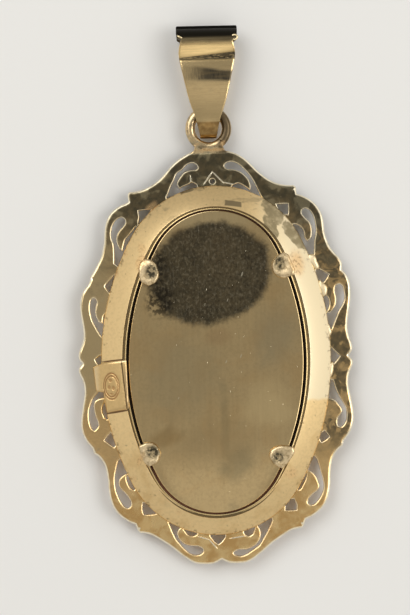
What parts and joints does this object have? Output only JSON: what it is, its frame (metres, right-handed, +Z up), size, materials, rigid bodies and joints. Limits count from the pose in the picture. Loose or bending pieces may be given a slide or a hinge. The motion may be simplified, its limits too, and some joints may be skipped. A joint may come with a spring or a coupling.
{
  "type": "oval painted pendant",
  "caption": "Oval gold pendant lying on its painted front: pierced scroll border, sloping bezel band, back plate under bent claws, assay tag, hanging ring and tapered bail.",
  "frame": {"origin": "on the resting plane, below the middle of the bounding box", "axes": "+Y along the pendant's length towards the bail, +Z up and away from the painted front, +X to the right as the back is looked at"},
  "size_m": [0.0288, 0.0566, 0.0043],
  "materials": {
    "gold_setting": "satin 14 carat yellow gold with solder stains",
    "gold_plate": "polished 14 carat yellow gold with fine scratches",
    "gold_bail": "polished 14 carat yellow gold",
    "painted_enamel": "painted, glossy glaze"
  },
  "bodies": {
    "root": {"scroll_setting": "gold_setting", "back_plate": "gold_plate", "painted_plaque": "painted_enamel", "bail": "gold_bail"}
  },
  "joints": []
}
